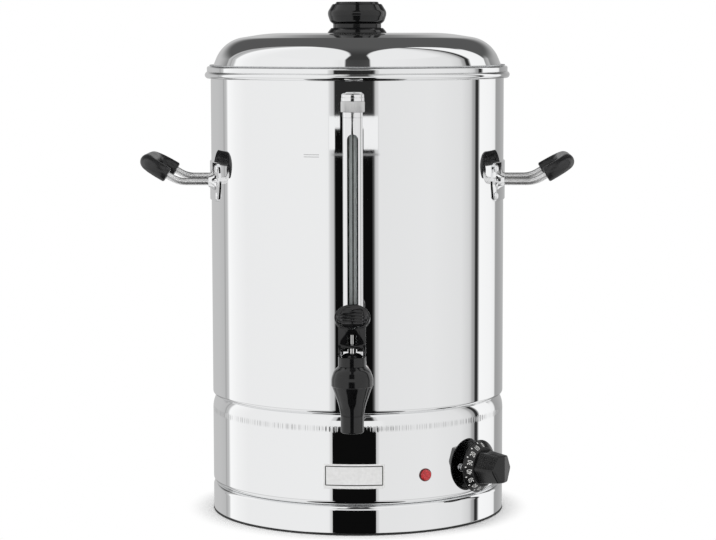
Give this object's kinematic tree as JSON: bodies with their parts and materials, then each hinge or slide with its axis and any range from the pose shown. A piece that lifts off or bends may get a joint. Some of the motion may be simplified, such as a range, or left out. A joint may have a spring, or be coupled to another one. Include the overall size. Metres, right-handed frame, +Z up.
{
  "type": "hot water urn",
  "caption": "Round steel hot water urn with a lift-off lid, a self-closing lever tap under an upright level gauge, a thermostat dial, an indicator lamp and side handles.",
  "frame": {"origin": "centre of the foot ring's flat face, on the tank's axis, where the urn stands on the counter", "axes": "+Z up along the tank's axis, -Y towards the tap at the front, +X towards the right handle seen from the front"},
  "size_m": [0.3684, 0.3167, 0.4352],
  "materials": {
    "polished_steel": "mirror-polished stainless steel sheet and rod",
    "plain_steel": "mill-finish stainless steel",
    "screw_steel": "plain stainless steel screws and rivets",
    "spring_steel": "drawn spring steel",
    "plated_brass": "bright plated brass",
    "frosted_plating": "satin plated, knurled",
    "black_plastic": "glossy black moulded heat-proof plastic",
    "knob_plastic": "high-gloss black turned phenolic",
    "grip_plastic": "satin black moulded plastic",
    "dial_plastic": "black moulded plastic with plain white numbers",
    "foot_rubber": "black rubber strip",
    "black_rubber": "black seal rubber",
    "red_silicone": "brick-red silicone washers",
    "clear_silicone": "milky silicone",
    "gauge_glass": "clear borosilicate tube",
    "red_lens": "translucent red lens",
    "white_plastic": "white heat-proof plastic",
    "phenolic": "dark phenolic",
    "ceramic": "glazed ceramic",
    "copper": "drawn copper tube",
    "earth_brass": "plain brass",
    "aluminium_plate": "plain aluminium sheet",
    "wire_sleeving": "heat-proof silicone wire",
    "earth_sleeving": "green and yellow earth wire",
    "element_sheath": "heat-darkened tubular element"
  },
  "bodies": {
    "urn": {"foot_ring": "foot_rubber", "plinth_ring": "polished_steel", "base_plate": "plain_steel", "base_screws": "screw_steel", "base_drum": "polished_steel", "tank_wall": "polished_steel", "tank_floor": "plain_steel", "handle_plate_left": "polished_steel", "handle_plate_right": "polished_steel", "handle_rod_left": "polished_steel", "handle_rod_right": "polished_steel", "handle_grip_left": "grip_plastic", "handle_grip_right": "grip_plastic", "handle_rivets": "screw_steel", "tap_shank": "plated_brass", "shank_washers": "red_silicone", "shank_nut": "plated_brass", "tap_body": "black_plastic", "tap_bonnet": "black_plastic", "gauge_glass": "gauge_glass", "gauge_shield": "polished_steel", "gauge_cap": "frosted_plating", "gauge_seals": "black_rubber", "thermostat_case": "plain_steel", "thermostat_screws": "screw_steel", "temperature_probe": "copper", "probe_clips": "plain_steel", "lamp_lens": "red_lens", "lamp_body": "white_plastic", "lamp_retainer": "spring_steel", "heat_spreader": "aluminium_plate", "heating_element": "element_sheath", "boil_dry_cutout": "phenolic", "cable_gland": "grip_plastic", "gland_nut": "grip_plastic", "terminal_block": "ceramic", "earth_stud": "earth_brass", "supply_wires": "wire_sleeving", "heater_wires": "wire_sleeving", "lamp_wires": "wire_sleeving", "earth_wire": "earth_sleeving"},
    "lid": {"lid_shell": "polished_steel", "lid_locating_ring": "plain_steel", "lid_knob_collar": "knob_plastic", "lid_knob": "knob_plastic", "lid_screw": "screw_steel"},
    "tap_stem": {"tap_stem": "plated_brass", "tap_seat_cup": "clear_silicone", "tap_spring": "spring_steel"},
    "tap_lever": {"tap_lever": "black_plastic", "tap_lever_pin": "spring_steel"},
    "thermostat_dial": {"thermostat_dial": "dial_plastic", "thermostat_spindle": "spring_steel"}
  },
  "joints": [
    {"name": "lid_lift", "type": "slide", "parent": "urn", "child": "lid", "axis": [0, 0, 1], "range_m": [0, 0.2]},
    {"name": "tap_stem_lift", "type": "slide", "parent": "urn", "child": "tap_stem", "axis": [0, 0, 1], "range_m": [0, 0.00314], "stiffness_N_per_m": 60, "springref_m": -0.008, "deforming": ["tap_spring"]},
    {"name": "tap_lever_tilt", "type": "hinge", "parent": "tap_stem", "child": "tap_lever", "pos_m": [0, -0.17, 0.1617], "axis": [1, 0, 0], "range_deg": [0, 45]},
    {"name": "thermostat_turn", "type": "hinge", "parent": "urn", "child": "thermostat_dial", "pos_m": [0, 0, 0.05], "axis": [0.7826, -0.6225, 0], "range_deg": [-264, 0]}
  ],
  "couplings": [
    {"joint": "tap_lever_tilt", "follows": "tap_stem_lift", "rad_per_m": 222.2}
  ]
}
